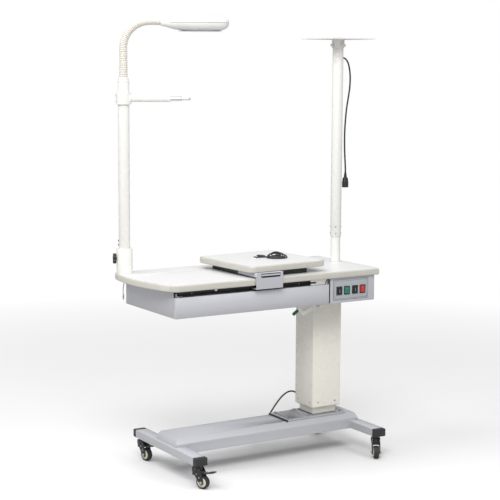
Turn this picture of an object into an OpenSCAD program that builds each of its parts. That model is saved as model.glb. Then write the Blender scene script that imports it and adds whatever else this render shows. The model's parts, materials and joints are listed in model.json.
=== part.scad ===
// Ophthalmic lift table: a rolling base, a telescopic column, and a table with a drawer,
// switches, a sliding instrument platform, a lamp pole with a flexible lamp, and a projector mast.
// X runs along the table, Y towards its back, Z up. Millimetres.

/* [Base] */
// Distance from the base's centre to each cross tube
tube_x = 405; // [395:1:430]
// Length of a cross tube with its end caps
tube_l = 500; // [460:5:600]
// Height of the cross tubes' underside above the floor
tube_z = 88; // [86:1:96]
// Half of the base cover's depth at its foot
cover_half = 80; // [76:1:90]

/* [Column] */
// Distance from the base's centre to the column
column_x = 273.5; // [240:0.5:280]
// Underside of the outer column above the floor, at its lowest
column_z = 187; // [180:1:200]

/* [Table] */
// Underside of the table case above the floor, at its lowest
case_z = 629.6; // [620:0.2:660]
// Height of the table case
case_h = 98.4; // [90:0.2:110]
// Thickness of the tabletop
top_t = 25; // [20:1:30]
// Half of the tabletop's depth
top_half = 209; // [205:1:220]

/* [Platform] */
// Width of the sliding platform
platform_w = 355; // [300:5:355]
// Depth of the sliding platform
platform_d = 355; // [320:5:355]

/* [Lamp] */
// Outer radius of the lamp pole
pole_r = 21.2; // [18:0.1:21.2]
// Height of the lamp pole's top above the tabletop
pole_h = 725; // [600:5:800]
// Height of the refractor arm above the tabletop
arm_h = 658; // [500:1:660]
// Direction that the refractor arm and the lamp's neck point in
arm_turn = -29.5; // [-60:0.5:0]
// Radius of the flexible neck's bend
neck_bend = 98; // [90:1:120]

/* [Mast] */
// Height of the projector mast's top above the tabletop
mast_h = 887; // [700:1:1000]
// Side of the square projector tray
tray_w = 215; // [180:5:260]

/* [Hidden] */
$fn = 48;

// Cross tubes
tube_w = 50;
tube_h = 30;
tube_wall = 2.5;
cap_l = 21;
cap_plug = 4;
tube_top = tube_z + tube_h;
caster_y = tube_l / 2 - 32;

// Base cover
cover_z = tube_top + 32;
cover_foot_x = tube_x + 13;
cover_top_x = cover_foot_x - 10;
cover_top_half = cover_half - 14;
cover_bevel = 22;
cover_wall = 2.5;
rail_w = 30;
rail_y = 45;
plate_t = 8;
bolt_y = 55;
bolt_spots = [column_x - 77.5, column_x + 77.5];
access_x = [85, 184];
access_t = 6;
access_bolt_x = 108;
bolt_r = 4;
bolt_clear = 0.2;

// Telescopic column
inner_w = 109;
inner_d = 95;
outer_w = 133;
outer_d = 125;
column_wall = 5;
inner_top = case_z - 22;
actuator_dx = -20;
motor_dx = 26;
rod_r = 14;

// Casters: the fork trails by caster_trail, towards caster_turn
wheel_r = 25;
caster_trail = 24;
fork_top = 79.5;
fork_half = 16;
fork_plate = 3;
stem_r = 5;
axle_r = 4;
pedal_pin = [19, 60];
pedal_pin_r = 2.5;
pedal_l = 76;
pedal_half = 10;
running = 0.05;
turn_fl = -61;
turn_bl = -78;
turn_fr = -120;
turn_br = -100;

// Table case
case_top = case_z + case_h;
case_x = [-483.5, 400.4];
case_y = [-198, 198];
sheet = 2;
bay_x = 186;
front_back = -180;
front_top = 705.7;
top_z = case_top + top_t;
top_right = 417;
bow_r = 630;
bow_y = 50;
bow_left = -550;
rail_z = [708, case_top];
panel_x = [206, 369];
panel_z = [641, 719];
panel_t = 1.5;
rocker_x = [232, 268, 306, 342];
rocker_z = 677;
rocker_w = 20;
rocker_h = 25;
rocker_tilt = 8;
lever_pin = [165, 620];
lever_y = -150;

// Platform
board_at = [-9.5, -20];
board_turn = 4.5;
board_z = [775, 799];
bracket_x = [-154, -37.5];
bracket_front = -217;
glide_gap = 0.3;

// Poles
pole_at = [-502, 172];
mast_at = [380, 40];
socket_r = 30;
socket_h = 94;
stub_r = 19;
stub_h = 152;
mast_r = 21.3;
mast_z = 855;
screw_rows = [868, 895];
knob_z = 808;
knob_gap = 1.5;
knob_l = 12;
knob_turn = -30;

// Flexible neck, by distance along its centre line from the pole's top
neck_z = top_z + pole_h;
neck_rise = 120;
neck_arc = neck_bend * PI / 2;
neck_end = neck_rise + neck_arc + 49;
neck_joints = [120, 197, 274];
neck_gap = 2;
ball_r = 9;
head_z = neck_z + neck_rise + neck_bend;
head_u = neck_end - neck_rise - neck_arc + neck_bend;

// Coil of the mains lead on the floor, and the middle of its ring
coil_at = [141, 252];
coil_r = 33;

// The base's centre, seen from the middle of the whole table's outline
left_reach = -bow_left;
right_reach = mast_at[0] + tray_w / 2;
front_reach = caster_y + pedal_l * sin(-turn_fl) + pedal_half * cos(turn_fl);
base_x = (left_reach - right_reach) / 2;
base_y = (front_reach - tube_l / 2) / 2;

// Cords
mains_r = 3.25;
loop_at = [0, -1];
platform_coil_at = [47, -44];
mains_route = [[262, 76, 172], [262, 86, 173], [260, 97, 178], [254, 105, 190], [245, 107, 205],
    [233, 104, 217], [218, 100, 223], [201, 98, 224], [183, 97, 219], [162, 97, 205],
    [140, 97, 183], [118, 98, 155], [98, 101, 124], [83, 107, 98], [73, 119, 76], [69, 136, 57],
    [70, 156, 40], [75, 177, 25], [82, 199, 12], [89, 219, 5], [96, 236, 3.4], [100, 246, 3.3]];
projector_route = [[400, 40, 1568], [410, 40, 1567], [421, 40, 1560], [430, 40, 1547],
    [436, 40, 1528], [440, 40, 1505], [441, 40, 1480], [439, 40, 1447], [433, 40, 1410],
    [426, 40, 1370], [421, 40, 1325], [418, 40, 1275], [418, 40, 1225], [420, 40, 1180],
    [423, 40, 1140], [424, 40, 1113]];
lamp_route = [[-515, 150, 728], [-516, 150, 716], [-519, 150, 702], [-520, 150, 688],
    [-519, 150, 673]];
cord_ref = [0.3, -1, 0.6];

function unit(v) = v / norm(v);

// One point of a smooth curve through the points p, past point i by the share t
function between(p, i, t) =
    let (a = p[max(i - 1, 0)], b = p[i], c = p[i + 1], d = p[min(i + 2, len(p) - 1)])
    0.5 * (2 * b + (c - a) * t + (2 * a - 5 * b + 4 * c - d) * t * t
        + (3 * b - a - 3 * c + d) * t * t * t);

function smooth(p, n) =
    concat([for (i = [0 : len(p) - 2], k = [0 : n - 1]) between(p, i, k / n)], [p[len(p) - 1]]);

// A round cord of radius r along path
module cord(path, r, sides = 8) {
    n = len(path);
    rings = [for (i = [0 : n - 1])
        let (t = unit(path[min(i + 1, n - 1)] - path[max(i - 1, 0)]),
            u = unit(cross(t, cord_ref)),
            v = cross(t, u))
        for (k = [0 : sides - 1])
            path[i] + r * (cos(360 * k / sides) * u + sin(360 * k / sides) * v)];
    sides_a = [for (i = [0 : n - 2], k = [0 : sides - 1])
        [i * sides + k, (i + 1) * sides + k, (i + 1) * sides + (k + 1) % sides]];
    sides_b = [for (i = [0 : n - 2], k = [0 : sides - 1])
        [i * sides + k, (i + 1) * sides + (k + 1) % sides, i * sides + (k + 1) % sides]];
    first = [[for (k = [0 : sides - 1]) k]];
    last = [[for (k = [sides - 1 : -1 : 0]) (n - 1) * sides + k]];
    polyhedron(rings, concat(sides_a, sides_b, first, last));
}

module placed() {
    translate([base_x, base_y, 0]) children();
}

module block(x, y, z) {
    translate([x[0], y[0], z[0]]) cube([x[1] - x[0], y[1] - y[0], z[1] - z[0]]);
}

// A rod along X, Y or Z from the point at
module rod(at, length, r, turn = [0, 0, 0]) {
    translate(at) rotate(turn) cylinder(h = length, r = r);
}

module square_tube(w, d, z, wall) {
    difference() {
        block([-w / 2, w / 2], [-d / 2, d / 2], z);
        block([-w / 2 + wall, w / 2 - wall], [-d / 2 + wall, d / 2 - wall], [z[0] - 1, z[1] + 1]);
    }
}

module rounded(x, y, r) {
    offset(r = r)
        translate([x[0] + r, y[0] + r]) square([x[1] - x[0] - 2 * r, y[1] - y[0] - 2 * r]);
}

// Base ------------------------------------------------------------------------------------------

module cross_tubes() color("gainsboro") placed() {
    half = tube_l / 2 - cap_l;
    for (side = [-1, 1]) difference() {
        block([side * tube_x - tube_w / 2, side * tube_x + tube_w / 2], [-half, half],
            [tube_z, tube_top]);
        block([side * tube_x - tube_w / 2 + tube_wall, side * tube_x + tube_w / 2 - tube_wall],
            [-half - 1, half + 1], [tube_z + tube_wall, tube_top - tube_wall]);
        for (end = [-1, 1])
            rod([side * tube_x, end * caster_y, tube_z - 1], tube_wall + 2, stem_r + running);
    }
}

module tube_caps() color("black") placed() {
    half = tube_l / 2;
    inset = tube_wall + 0.1;
    for (side = [-1, 1], end = [0, 1]) translate([side * tube_x, 0, 0]) mirror([0, end, 0]) {
        block([-tube_w / 2, tube_w / 2], [half - cap_l, half], [tube_z, tube_top]);
        block([-tube_w / 2 + inset, tube_w / 2 - inset], [half - cap_l - cap_plug, half - cap_l],
            [tube_z + inset, tube_top - inset]);
    }
}

module frame_rails() color("silver") placed() {
    length = tube_x - tube_w / 2;
    for (side = [-1, 1]) difference() {
        block([-length, length], [side * rail_y - rail_w / 2, side * rail_y + rail_w / 2],
            [tube_z + 1, cover_z - cover_wall]);
        block([-length - 1, length + 1],
            [side * rail_y - rail_w / 2 + 3, side * rail_y + rail_w / 2 - 3],
            [tube_z + 4, cover_z - cover_wall - 3]);
        for (x = concat(bolt_spots, [access_bolt_x]))
            rod([x, side * bolt_y, cover_z - 12], 20, bolt_r + bolt_clear);
    }
}

module cover_form(inset, foot) {
    y = cover_half - inset;
    y_top = cover_top_half - inset;
    z_top = cover_z - inset;
    x = cover_foot_x - inset;
    x_top = cover_top_x - inset;
    intersection() {
        rotate([90, 0, 90]) translate([0, 0, -x]) linear_extrude(2 * x)
            polygon([[-y, foot], [-y, z_top - cover_bevel], [-y_top, z_top], [y_top, z_top],
                [y, z_top - cover_bevel], [y, foot]]);
        rotate([90, 0, 0]) translate([0, 0, -y]) linear_extrude(2 * y)
            polygon([[-x, foot], [-x, z_top - 27], [-x_top - 3, z_top - 7], [-x_top + 4, z_top],
                [x_top - 4, z_top], [x_top + 3, z_top - 7], [x, z_top - 27], [x, foot]]);
    }
}

module base_cover() color("silver") placed() {
    inner_x = tube_x - tube_w / 2;
    difference() {
        cover_form(0, tube_z);
        cover_form(cover_wall, tube_z - 1);
        for (side = [0, 1]) mirror([side, 0, 0])
            block([inner_x, cover_foot_x + 1], [-cover_half - 1, cover_half + 1],
                [tube_z - 1, tube_top]);
        for (x = concat(bolt_spots, [access_bolt_x]), side = [-1, 1])
            rod([x, side * bolt_y, cover_z - 5], 10, bolt_r + bolt_clear);
    }
}

module foot_plates() color("lightsteelblue") placed() {
    difference() {
        union() {
            block([column_x - 88, column_x + 88], [-68, 68], [cover_z, cover_z + plate_t]);
            block(access_x, [-68, 68], [cover_z, cover_z + access_t]);
        }
        for (x = concat(bolt_spots, [access_bolt_x]), side = [-1, 1])
            rod([x, side * bolt_y, cover_z - 1], 12, bolt_r + bolt_clear);
    }
}

module bolt(at, seat) {
    rod([at[0], at[1], cover_z - 10], seat + 10, bolt_r);
    rod([at[0], at[1], cover_z + seat], 4.5, 7);
}

module base_bolts() color("dimgray") placed() {
    for (side = [-1, 1]) {
        for (x = bolt_spots) bolt([x, side * bolt_y], plate_t);
        bolt([access_bolt_x, side * bolt_y], access_t);
    }
}

module inner_column() color("ivory") placed() translate([column_x, 0, 0]) {
    square_tube(inner_w, inner_d, [cover_z + plate_t, inner_top], 4);
}

module actuator_body() color("dimgray") placed() translate([column_x, 0, 0]) {
    z = cover_z + plate_t;
    block([-46, 48], [-24, 24], [z, z + 44]);
    rod([motor_dx, 0, z + 44], 110, 20);
    difference() {
        rod([actuator_dx, 0, z + 44], 350, 23);
        rod([actuator_dx, 0, z + 50], 351, rod_r + running);
    }
}

module caster_stems() color("silver") placed() {
    for (side = [-1, 1], end = [-1, 1]) translate([side * tube_x, end * caster_y, 0]) {
        rod([0, 0, 60], 42, stem_r);
        translate([0, 0, fork_top + 0.3]) cylinder(h = tube_z - fork_top - 0.3, r = 9, $fn = 6);
    }
}

module cable_gland() color("black") placed() {
    translate([262, inner_d / 2, 172]) rotate([-90, 0, 0]) {
        cylinder(h = 8, r = 9, $fn = 6);
        translate([0, 0, 8]) cylinder(h = 76 - inner_d / 2 - 8, r1 = 7, r2 = 4.5);
    }
}

module mains_lead() color("black") placed() cord(smooth(mains_route, 2), mains_r);

module mains_coil() color("black") placed() translate([coil_at[0], coil_at[1], 0]) {
    rotate_extrude() translate([coil_r - 10, 0.05]) square([20, 19.5]);
}

module mains_plug() color("black") placed()
    translate([coil_at[0] + 69, coil_at[1] + 5.7, 0]) rotate([0, 0, -30]) {
        block([0, 38], [-14, 14], [0.1, 20]);
        translate([-22, 0, 10]) rotate([0, 90, 0]) cylinder(h = 22, r1 = 4, r2 = 8);
        for (side = [-1, 1]) translate([38, side * 9.5, 10]) rotate([0, 90, 0])
            cylinder(h = 19, r = 2.4);
    }

// Casters ---------------------------------------------------------------------------------------

module at_caster(side, end, turn) {
    translate([side * tube_x, end * caster_y, 0]) rotate([0, 0, turn]) children();
}

module fork(with_pedal) {
    difference() {
        union() {
            rod([0, 0, 66], fork_top - 66, 17);
            for (side = [-1, 1]) translate([0, side * (fork_half - fork_plate / 2), 0])
                rotate([90, 0, 0]) linear_extrude(fork_plate, center = true) difference() {
                    union() {
                        polygon([[-14, 66], [-15, fork_top], [16, fork_top], [27, 60], [33, 25],
                            [15, 25]]);
                        translate([caster_trail, wheel_r]) circle(r = 9);
                    }
                    translate([5, 56]) circle(r = 3.5);
                    translate([15, 43]) circle(r = 3.5);
                }
            block([-12, 12.5], [-fork_half, fork_half], [51, fork_top]);
        }
        rod([0, 0, 58], 30, stem_r + running);
    }
    rod([caster_trail, fork_half + 2, wheel_r], 2 * fork_half + 4, axle_r, [90, 0, 0]);
    if (with_pedal) rod([pedal_pin[0], fork_half, pedal_pin[1]], 2 * fork_half, pedal_pin_r, [90, 0, 0]);
}

module wheel() {
    translate([caster_trail, 0, wheel_r]) rotate([90, 0, 0]) difference() {
        union() {
            rotate_extrude() polygon([[2, -10], [20, -10], [24, -8], [25, -4], [25, 4], [24, 8],
                [20, 10], [2, 10]]);
            cylinder(h = 24, r = 8, center = true);
        }
        cylinder(h = 30, r = axle_r + running, center = true);
    }
}

module pedal() {
    difference() {
        union() {
            rod([pedal_pin[0], 12, pedal_pin[1]], 24, 5, [90, 0, 0]);
            rotate([90, 0, 0]) linear_extrude(2 * pedal_half, center = true)
                polygon([[20, 62], [46, 63], [pedal_l, 70], [pedal_l, 66.5], [46, 59.5], [32, 56.5],
                    [24, 56]]);
        }
        rod([pedal_pin[0], 20, pedal_pin[1]], 40, pedal_pin_r + running, [90, 0, 0]);
    }
}

module fork_fl() color("black") placed() at_caster(-1, -1, turn_fl) fork(true);
module fork_bl() color("black") placed() at_caster(-1, 1, turn_bl) fork(true);
module fork_fr() color("black") placed() at_caster(1, -1, turn_fr) fork(false);
module fork_br() color("black") placed() at_caster(1, 1, turn_br) fork(false);
module wheel_fl() color("ivory") placed() at_caster(-1, -1, turn_fl) wheel();
module wheel_bl() color("ivory") placed() at_caster(-1, 1, turn_bl) wheel();
module wheel_fr() color("ivory") placed() at_caster(1, -1, turn_fr) wheel();
module wheel_br() color("ivory") placed() at_caster(1, 1, turn_br) wheel();
module pedal_fl() color("dimgray") placed() at_caster(-1, -1, turn_fl) pedal();
module pedal_bl() color("dimgray") placed() at_caster(-1, 1, turn_bl) pedal();

// Lifting table -----------------------------------------------------------------------------------

module outer_column() color("linen") placed() translate([column_x, 0, 0]) {
    square_tube(outer_w, outer_d, [column_z, case_z], column_wall);
}

module glide_pads() color("white") placed() translate([column_x, 0, 0]) {
    z = [column_z + 3, column_z + 53];
    x = [inner_w / 2 + glide_gap, outer_w / 2 - column_wall];
    y = [inner_d / 2 + glide_gap, outer_d / 2 - column_wall];
    for (side = [0, 1]) {
        mirror([side, 0, 0]) block(x, [-30, 30], z);
        mirror([0, side, 0]) block([-35, 35], y, z);
    }
}

module actuator_rod() color("silver") placed() translate([column_x, 0, 0]) {
    rod([actuator_dx, 0, 230], case_z - 230, rod_r);
}

module table_case() color("silver") placed() {
    z_in = case_z + sheet;
    // Bottom sheet, left panel, back panel, divider and the flanges under the tabletop
    block([case_x[0], bay_x + sheet], [front_back + 0.5, case_y[1]], [case_z, z_in]);
    block([bay_x + sheet, case_x[1]], [case_y[0] + sheet, case_y[1]], [case_z, z_in]);
    block([case_x[0], case_x[0] + sheet], [front_back + 0.5, case_y[1]], [z_in, case_top]);
    block([case_x[0] + sheet, case_x[1]], [case_y[1] - sheet, case_y[1]], [z_in, case_top]);
    block([bay_x, bay_x + sheet], [front_back + 0.5, case_y[1] - sheet], [z_in, case_top]);
    block([case_x[0] + sheet, case_x[0] + 22], [-160, case_y[1] - sheet],
        [case_top - sheet, case_top]);
    // Drawer runners
    block([case_x[0] + sheet, case_x[0] + 12], [-175, 190], [662, 672]);
    block([172, bay_x], [-175, 190], [662, 672]);
    // Ears and pin of the lock lever
    for (y = [lever_y - 6, lever_y + 3]) translate([lever_pin[0], y + 3, 0])
        rotate([90, 0, 0]) linear_extrude(3) {
            translate([0, lever_pin[1]]) circle(r = 8);
            translate([-8, lever_pin[1]]) square([16, case_z - lever_pin[1]]);
        }
    rod([lever_pin[0], lever_y + 6, lever_pin[1]], 12, 3, [90, 0, 0]);
}

module guide_rail() color("black") placed() difference() {
    block([-474, 152], [-188, -168], rail_z);
    block([-475, 153], [-189, -178], [711.5, 720.5]);
}

module tabletop_outline() {
    intersection() {
        rounded([bow_left - 10, top_right], [-top_half, top_half], 4);
        offset(r = 36) offset(delta = -36) intersection() {
            translate([bow_left - 10, -top_half]) square([top_right - bow_left + 60, 2 * top_half]);
            translate([bow_left + bow_r, bow_y]) circle(r = bow_r, $fn = 360);
        }
    }
}

module tabletop() color("whitesmoke") placed() {
    translate([0, 0, case_top]) linear_extrude(top_t) tabletop_outline();
}

module control_box() color("silver") placed() {
    z = [case_z + sheet, case_top];
    difference() {
        block([bay_x + 2.8, case_x[1]], [case_y[0] - 0.2, case_y[0] + sheet], [case_z - 0.2, case_top]);
        for (x = rocker_x) block([x - 14, x + 14], [-210, -190], [rocker_z - 17, rocker_z + 17]);
    }
    block([case_x[1] - sheet, case_x[1]], [case_y[0] + sheet, case_y[1] - sheet], z);
    block([bay_x + 2.8, bay_x + 4.8], [case_y[0] + sheet, front_back], z);
}

module control_panel() color("lightgray") placed() {
    y = case_y[0] - 0.2;
    difference() {
        union() {
            block(panel_x, [y - panel_t, y], panel_z);
            for (x = rocker_x)
                block([x - 12.5, x + 12.5], [y - panel_t - 1, y], [rocker_z - 15.5, rocker_z + 15.5]);
        }
        for (x = rocker_x)
            block([x - rocker_w / 2 - 0.5, x + rocker_w / 2 + 0.5], [-210, -190],
                [rocker_z - rocker_h / 2 - 1, rocker_z + rocker_h / 2 + 1]);
    }
}

module power_supply() color("goldenrod") placed() {
    translate([300, 60, case_z + sheet + 20]) rotate_extrude() translate([22, -20]) square([28, 40]);
    block([215, 385], [-120, -40], [case_z + sheet, case_z + sheet + 22]);
}

module pole_sockets() color("white") placed() {
    translate([pole_at[0], pole_at[1], top_z]) difference() {
        cylinder(h = socket_h, r = socket_r);
        translate([0, 0, 4]) cylinder(h = socket_h, r = pole_r + running);
        rotate([0, 0, knob_turn])
            rod([-10, 0, knob_z - top_z], 30, 4 + running, [0, -90, 0]);
    }
    translate([mast_at[0], mast_at[1], top_z]) difference() {
        cylinder(h = stub_h, r = stub_r);
        translate([0, 0, 4]) cylinder(h = stub_h, r = stub_r - 3);
    }
}

module mast() color("white") placed() translate([mast_at[0], mast_at[1], 0]) difference() {
    rod([0, 0, mast_z], top_z + mast_h - mast_z, mast_r);
    rod([0, 0, mast_z - 1], top_z + mast_h - mast_z - 3, stub_r + running);
    rod([10, 0, 1568], 20, 3.8, [0, 90, 0]);
    for (z = screw_rows, turn = [55 : 90 : 325]) rotate([0, 0, turn])
        rod([10, 0, z], 20, 2.6, [0, 90, 0]);
}

module set_screws() color("gray") placed() {
    // Clamp screws of the mast
    translate([mast_at[0], mast_at[1], 0])
        for (z = screw_rows, turn = [55 : 90 : 325]) rotate([0, 0, turn])
            rod([stub_r + 0.1, 0, z], 5, 2.5, [0, 90, 0]);
    // Screws that hold the column's glide pads
    translate([column_x, 0, column_z + 13]) for (side = [-1, 1], y = [-38, 38]) {
        rod([side * outer_w / 2, y, 0], 1.6, 3.4, [0, side * 90, 0]);
        rod([y, side * outer_d / 2, 0], 1.6, 3.4, [-side * 90, 0, 0]);
    }
}

module lamp_lead() color("gray") placed() cord(smooth(lamp_route, 2), 1.6);

module lamp_lead_plug() color("gray") placed() rod([-518, 150, 655], 18, 3.2);

module projector_lead() color("black") placed() cord(smooth(projector_route, 2), mains_r);

module projector_plug() color("black") placed() {
    translate([424, 40, 1091]) cylinder(h = 22, r1 = 6.5, r2 = 4);
    block([413, 435], [31, 49], [1051, 1091]);
}

// Drawer --------------------------------------------------------------------------------------------

module drawer_front() color("silver") placed() difference() {
    block([case_x[0], bay_x - 0.3], [case_y[0], front_back], [case_z, front_top]);
    block([case_x[0] + sheet, bay_x - 0.3 - sheet], [case_y[0] + sheet, front_back + 1],
        [case_z + sheet, front_top - sheet]);
}

module drawer_tray() color("gray") placed() difference() {
    block([-470, 170], [case_y[0] + sheet, 170], [640, 700]);
    block([-468, 168], [case_y[0] + 2 * sheet, 168], [642, 701]);
}

// Rockers -------------------------------------------------------------------------------------------

// A paddle on an axle along X; rest is its tilt when nothing presses it
module rocker(index, rest) {
    translate([rocker_x[index], -197.5, rocker_z]) rotate([rest, 0, 0]) rotate([90, 0, 90])
        linear_extrude(rocker_w, center = true)
            polygon([[4, -6], [-2, -rocker_h / 2], [-5, -rocker_h / 2], [-3.4, 0],
                [-5, rocker_h / 2], [-2, rocker_h / 2], [4, 6]]);
}

module rocker_up() color("black") placed() rocker(0, 0);
module rocker_power() color("green") placed() rocker(1, -rocker_tilt);
module rocker_down() color("black") placed() rocker(2, 0);
module rocker_lamp() color("red") placed() rocker(3, -rocker_tilt);

// Platform ------------------------------------------------------------------------------------------

module platform_board() color("whitesmoke") placed() {
    translate([board_at[0], board_at[1], board_z[0]]) rotate([0, 0, board_turn])
        linear_extrude(board_z[1] - board_z[0])
            rounded([-platform_w / 2, platform_w / 2], [-platform_d / 2, platform_d / 2], 22);
}

module platform_bracket() color("silver") placed() {
    back = bracket_front + 3;
    difference() {
        block(bracket_x, [bracket_front, back], [714, board_z[0]]);
        block([-133, -48], [bracket_front - 1, bracket_front + 1.8], [756, 772]);
    }
    // Arm under the board, a folded channel
    difference() {
        block(bracket_x, [back, -83], [759, board_z[0]]);
        block([bracket_x[0] + 3, bracket_x[1] - 3], [back - 1, -82], [762, board_z[0] - 3]);
    }
    block(bracket_x, [back, -181], [714, 717]);
}

// Carriage that carries the board over the tabletop, cut away round the bracket's arm
module platform_glides() color("black") placed() {
    z = [top_z + glide_gap, board_z[0]];
    difference() {
        block([-154, 107], [-160, 108], z);
        block([-140, 93], [-146, 94], [z[0] - 1, z[1] + 1]);
        block([-155, bracket_x[1] + 1.5], [-161, -82.5], [z[0] - 1, z[1] + 1]);
    }
}

module platform_coil() color("black") placed() {
    translate([platform_coil_at[0], platform_coil_at[1], board_z[1]])
        rotate_extrude() translate([31, 0.05]) square([12, 21]);
    translate([loop_at[0], loop_at[1], board_z[1]])
        rotate_extrude() translate([12, 0.05]) square([6.5, 11.5]);
}

module platform_plug() color("black") placed()
    translate([platform_coil_at[0] + 4, platform_coil_at[1] + 6, board_z[1] + 0.1])
        rotate([0, 0, -25]) block([-14, 14], [-7, 7], [0, 13]);

// Lamp pole -----------------------------------------------------------------------------------------

module lamp_pole() color("white") placed() translate([pole_at[0], pole_at[1], 0]) difference() {
    rod([0, 0, top_z + 5], pole_h - 5, pole_r);
    rod([0, 0, top_z + 4], pole_h - 9, pole_r - 2.5);
}

module clamp_knob() color("black") placed() translate([pole_at[0], pole_at[1], knob_z])
    rotate([0, 0, knob_turn]) rotate([0, -90, 0]) {
        rod([0, 0, pole_r + 0.4], socket_r + knob_gap - pole_r, 4);
        translate([0, 0, socket_r + knob_gap]) {
            cylinder(h = knob_l, r = 14);
            for (turn = [0 : 60 : 300]) rotate([0, 0, turn])
                translate([14, 0, 0]) cylinder(h = knob_l, r = 5.5);
        }
    }

module refractor_arm() color("white") placed()
    translate([pole_at[0], pole_at[1], top_z + arm_h]) rotate([0, 0, arm_turn]) {
        difference() {
            union() {
                rod([0, 0, -22], 44, 28);
                rod([10, 0, 0], 165, 12.5, [0, 90, 0]);
            }
            rod([0, 0, -30], 60, pole_r + running);
        }
        rod([175, 0, 0], 42, 8.5, [0, 90, 0]);
        rod([217, 0, 0], 33, 5.5, [0, 90, 0]);
    }

// Places children at distance s along the neck, with Z along it
module on_neck(s) {
    arc = min(max(s - neck_rise, 0), neck_arc);
    turn = arc / neck_bend * 180 / PI;
    up = min(s, neck_rise);
    out = max(s - neck_rise - neck_arc, 0);
    translate([neck_bend * (1 - cos(turn)) + out, 0, neck_z + up + neck_bend * sin(turn)])
        rotate([0, turn, 0]) children();
}

// The neck's solid from distance a to b
module neck_run(a, b, r) {
    arc_end = neck_rise + neck_arc;
    if (a < neck_rise) on_neck(a) cylinder(h = min(b, neck_rise) - a, r = r);
    if (b > neck_rise && a < arc_end) {
        first = (max(a, neck_rise) - neck_rise) / neck_bend * 180 / PI;
        last = (min(b, arc_end) - neck_rise) / neck_bend * 180 / PI;
        translate([neck_bend, 0, neck_z + neck_rise]) rotate([90, 0, 0])
            rotate([0, 0, 180 - last]) rotate_extrude(angle = last - first)
                translate([neck_bend, 0]) circle(r = r);
    }
    if (b > arc_end) on_neck(max(a, arc_end)) cylinder(h = b - max(a, arc_end), r = r);
}

module at_neck() {
    translate([pole_at[0], pole_at[1], 0]) rotate([0, 0, arm_turn]) children();
}

// A stretch of neck, with a socket for the ball before it and the ball that carries the next
module neck_link(a, b, r) {
    difference() {
        neck_run(a + neck_gap, b - neck_gap, r);
        on_neck(a) sphere(r = ball_r + 0.4);
    }
    on_neck(b) sphere(r = ball_r);
}

module neck_root() color("tan") placed() at_neck() {
    neck_run(0, neck_joints[0] - neck_gap, 16);
    on_neck(neck_joints[0]) sphere(r = ball_r);
}

module neck_link_1() color("tan") placed() at_neck() neck_link(neck_joints[0], neck_joints[1], 15.5);
module neck_link_2() color("tan") placed() at_neck() neck_link(neck_joints[1], neck_joints[2], 14.5);

module head_form(inset) {
    hull() {
        translate([head_u + 10, 0, head_z - 1]) sphere(r = 15 - inset, $fn = 32);
        translate([head_u + 90, 0, head_z - 4]) scale([1.2, 1, 0.6]) sphere(r = 50 - inset, $fn = 32);
        translate([head_u + 180, 0, head_z - 5]) scale([1.2, 1, 0.62]) sphere(r = 54 - inset, $fn = 32);
    }
}

module lamp_head() color("white") placed() at_neck() {
    foot = head_z - 34;
    difference() {
        union() {
            neck_run(neck_joints[2] + neck_gap, neck_end + 2, 13.5);
            head_form(0);
        }
        on_neck(neck_joints[2]) sphere(r = ball_r + 0.4);
        intersection() {
            head_form(2.5);
            block([head_u + 30, head_u + 400], [-80, 80], [foot - 50, head_z + 80]);
        }
        block([head_u - 20, head_u + 400], [-80, 80], [foot - 60, foot]);
    }
}

module lamp_diffuser() color("aliceblue") placed() at_neck() {
    foot = head_z - 34;
    intersection() {
        head_form(2.8);
        block([head_u + 31, head_u + 400], [-80, 80], [foot + 0.5, foot + 3.5]);
    }
}

// Mast tray and lock lever ----------------------------------------------------------------------------

module tray() color("white") placed() translate([mast_at[0], mast_at[1], top_z + mast_h]) {
    difference() {
        rod([0, 0, -34], 34.3, 25);
        rod([0, 0, -40], 40, mast_r + running);
    }
    translate([0, 0, 0.3]) linear_extrude(4)
        rounded([-tray_w / 2, tray_w / 2], [-tray_w / 2, tray_w / 2], 8);
    for (turn = [0 : 90 : 270]) rotate([0, 0, turn]) rod([24.5, 0, -23], 10, 4.5, [0, 90, 0]);
}

module lock_lever() color("linen") placed() {
    translate([0, lever_y + 2, 0]) rotate([90, 0, 0]) linear_extrude(4) difference() {
        union() {
            translate(lever_pin) circle(r = 8.5);
            polygon([[68, 611], [79, 622], [101, 603], [162, 628], [171, 613.5], [99, 586]]);
        }
        translate(lever_pin) circle(r = 3 + running);
    }
    rod([77.3, lever_y, 608.2], 30, 6.5, [0, -124, 0]);
}

cross_tubes();
tube_caps();
frame_rails();
base_cover();
foot_plates();
base_bolts();
inner_column();
actuator_body();
caster_stems();
cable_gland();
mains_lead();
mains_coil();
mains_plug();
fork_fl();
fork_bl();
fork_fr();
fork_br();
wheel_fl();
wheel_bl();
wheel_fr();
wheel_br();
pedal_fl();
pedal_bl();
outer_column();
glide_pads();
actuator_rod();
table_case();
guide_rail();
tabletop();
control_box();
control_panel();
power_supply();
pole_sockets();
mast();
set_screws();
lamp_lead();
lamp_lead_plug();
projector_lead();
projector_plug();
drawer_front();
drawer_tray();
rocker_up();
rocker_power();
rocker_down();
rocker_lamp();
platform_board();
platform_bracket();
platform_glides();
platform_coil();
platform_plug();
lamp_pole();
clamp_knob();
refractor_arm();
neck_root();
neck_link_1();
neck_link_2();
lamp_head();
lamp_diffuser();
tray();
lock_lever();
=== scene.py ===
"""Looks of the rolling ophthalmic lift table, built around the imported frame.

Lengths in the tables below are millimetres from the middle of the base, at floor level,
with X along the table, Y towards its back and Z up. at() turns them into the frame's metres.
"""
import json
from math import atan2, copysign, cos, pi, radians, sin, sqrt, tan

import bmesh
import bpy
from mathutils import Matrix, Vector


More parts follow.
